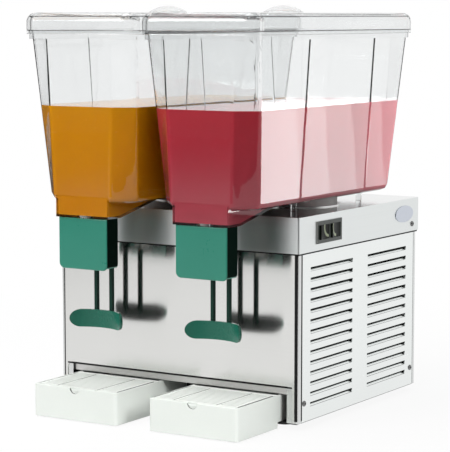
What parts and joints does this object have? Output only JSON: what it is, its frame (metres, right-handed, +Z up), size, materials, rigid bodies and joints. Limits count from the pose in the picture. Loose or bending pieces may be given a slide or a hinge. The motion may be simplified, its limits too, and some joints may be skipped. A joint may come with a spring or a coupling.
{
  "type": "refrigerated juice dispenser",
  "caption": "Countertop refrigerated juice dispenser: clear lidded bowls on a louvred steel cabinet, push-lever taps, pull-out drip trays, inner cooling set and magnetic stirrers.",
  "frame": {"origin": "under the middle of the whole machine, drip trays included, at counter level", "axes": "+Z up, -Y towards the person who fills a cup, +X to that person's right"},
  "size_m": [0.3966, 0.456, 0.5615],
  "materials": {
    "stainless": "brushed",
    "screw_steel": "plain",
    "liner_steel": "dull galvanised grey",
    "foot_rubber": "matt",
    "switch_black": "fine texture",
    "rocker_black": "gloss",
    "plate_metal": "satin",
    "compressor_black": "gloss paint",
    "condenser_metal": "plain fins",
    "motor_metal": "grey paint",
    "fan_plastic": "moulded",
    "copper_line": "drawn copper tube",
    "evaporator_steel": "polished",
    "gasket_rubber": "pale food-grade rubber",
    "magnet_metal": "ferrite",
    "impeller_white": "moulded",
    "bowl_clear": "clear polycarbonate",
    "lid_clear": "clear polycarbonate",
    "tap_green": "moulded green",
    "valve_white": "moulded",
    "spring_steel": "drawn wire",
    "tray_white": "moulded"
  },
  "bodies": {
    "cabinet": {"base_pan": "liner_steel", "rubber_feet": "foot_rubber", "corner_posts": "stainless", "front_panel": "stainless", "left_side_panel": "stainless", "right_side_panel": "stainless", "back_panel": "stainless", "tray_bay": "liner_steel", "deck": "stainless", "panel_screws": "screw_steel", "switch_bezel": "switch_black", "oval_plate": "plate_metal", "compressor": "compressor_black", "compressor_mounts": "foot_rubber", "condenser": "condenser_metal", "fan_shroud": "liner_steel", "fan_motor": "motor_metal", "filter_drier": "copper_line", "discharge_line": "copper_line", "liquid_line": "copper_line", "capillary_line": "copper_line", "suction_line": "copper_line", "thermostat": "switch_black", "wiring_box": "switch_black", "cord_gland": "switch_black", "left_evaporator": "evaporator_steel", "left_bowl_gasket": "gasket_rubber", "left_mixer_motor": "motor_metal", "right_evaporator": "evaporator_steel", "right_bowl_gasket": "gasket_rubber", "right_mixer_motor": "motor_metal"},
    "left_tank": {"left_bowl": "bowl_clear", "left_valve_sleeve": "valve_white", "left_valve_cover": "tap_green", "left_lever_pins": "spring_steel", "left_plunger_spring": "spring_steel"},
    "left_cap": {"left_lid": "lid_clear"},
    "left_tap_lever": {"left_lever": "tap_green"},
    "left_valve": {"left_plunger": "valve_white", "left_plunger_seal": "gasket_rubber"},
    "left_drive": {"left_drive_magnet": "magnet_metal"},
    "left_stirrer": {"left_impeller": "impeller_white"},
    "left_tray": {"left_drip_tray": "tray_white"},
    "left_grid": {"left_drip_grid": "tray_white"},
    "right_tank": {"right_bowl": "bowl_clear", "right_valve_sleeve": "valve_white", "right_valve_cover": "tap_green", "right_lever_pins": "spring_steel", "right_plunger_spring": "spring_steel"},
    "right_cap": {"right_lid": "lid_clear"},
    "right_tap_lever": {"right_lever": "tap_green"},
    "right_valve": {"right_plunger": "valve_white", "right_plunger_seal": "gasket_rubber"},
    "right_drive": {"right_drive_magnet": "magnet_metal"},
    "right_stirrer": {"right_impeller": "impeller_white"},
    "right_tray": {"right_drip_tray": "tray_white"},
    "right_grid": {"right_drip_grid": "tray_white"},
    "fan": {"fan": "fan_plastic"},
    "cooling_switch": {"cooling_rocker": "rocker_black"},
    "mixer_switch": {"mixer_rocker": "rocker_black"}
  },
  "joints": [
    {"name": "left_tank_lift", "type": "slide", "parent": "cabinet", "child": "left_tank", "axis": [0, 0, 1], "range_m": [0, 0.14]},
    {"name": "left_lid_lift", "type": "slide", "parent": "left_tank", "child": "left_cap", "axis": [0, 0, 1], "range_m": [0, 0.06]},
    {"name": "left_lever_press", "type": "hinge", "parent": "left_tank", "child": "left_tap_lever", "pos_m": [-0.095, -0.2, 0.238], "axis": [1, 0, 0], "range_deg": [0, 14], "stiffness_Nm_per_rad": 0.1, "springref_deg": -28.65},
    {"name": "left_valve_open", "type": "slide", "parent": "left_tank", "child": "left_valve", "axis": [0, 0, 1], "range_m": [0, 0.004], "deforming": ["left_plunger_spring"]},
    {"name": "left_drive_turn", "type": "hinge", "parent": "cabinet", "child": "left_drive", "pos_m": [-0.095, 0.041, 0.3], "axis": [0, 0, 1], "continuous": true},
    {"name": "left_impeller_turn", "type": "hinge", "parent": "cabinet", "child": "left_stirrer", "pos_m": [-0.095, 0.041, 0.4], "axis": [0, 0, 1], "continuous": true},
    {"name": "left_tray_pull", "type": "slide", "parent": "cabinet", "child": "left_tray", "axis": [0, -1, 0], "range_m": [0, 0.16]},
    {"name": "left_grid_lift", "type": "slide", "parent": "left_tray", "child": "left_grid", "axis": [0, 0, 1], "range_m": [0, 0.05]},
    {"name": "right_tank_lift", "type": "slide", "parent": "cabinet", "child": "right_tank", "axis": [0, 0, 1], "range_m": [0, 0.14]},
    {"name": "right_lid_lift", "type": "slide", "parent": "right_tank", "child": "right_cap", "axis": [0, 0, 1], "range_m": [0, 0.06]},
    {"name": "right_lever_press", "type": "hinge", "parent": "right_tank", "child": "right_tap_lever", "pos_m": [0.095, -0.2, 0.238], "axis": [1, 0, 0], "range_deg": [0, 14], "stiffness_Nm_per_rad": 0.1, "springref_deg": -28.65},
    {"name": "right_valve_open", "type": "slide", "parent": "right_tank", "child": "right_valve", "axis": [0, 0, 1], "range_m": [0, 0.004], "deforming": ["right_plunger_spring"]},
    {"name": "right_drive_turn", "type": "hinge", "parent": "cabinet", "child": "right_drive", "pos_m": [0.095, 0.041, 0.3], "axis": [0, 0, 1], "continuous": true},
    {"name": "right_impeller_turn", "type": "hinge", "parent": "cabinet", "child": "right_stirrer", "pos_m": [0.095, 0.041, 0.4], "axis": [0, 0, 1], "continuous": true},
    {"name": "right_tray_pull", "type": "slide", "parent": "cabinet", "child": "right_tray", "axis": [0, -1, 0], "range_m": [0, 0.16]},
    {"name": "right_grid_lift", "type": "slide", "parent": "right_tray", "child": "right_grid", "axis": [0, 0, 1], "range_m": [0, 0.05]},
    {"name": "fan_turn", "type": "hinge", "parent": "cabinet", "child": "fan", "pos_m": [0.11, 0.078, 0.103], "axis": [1, 0, 0], "continuous": true},
    {"name": "cooling_rocker_tip", "type": "hinge", "parent": "cabinet", "child": "cooling_switch", "pos_m": [0.195, -0.05975, 0.2605], "axis": [0, 0, -1], "range_deg": [0, 14]},
    {"name": "mixer_rocker_tip", "type": "hinge", "parent": "cabinet", "child": "mixer_switch", "pos_m": [0.195, -0.02825, 0.2605], "axis": [0, 0, -1], "range_deg": [0, 14]}
  ],
  "couplings": [
    {"joint": "left_valve_open", "follows": "left_lever_press", "m_per_rad": 0.0158},
    {"joint": "left_impeller_turn", "follows": "left_drive_turn", "ratio": 1},
    {"joint": "right_valve_open", "follows": "right_lever_press", "m_per_rad": 0.0158},
    {"joint": "right_impeller_turn", "follows": "right_drive_turn", "ratio": 1}
  ]
}
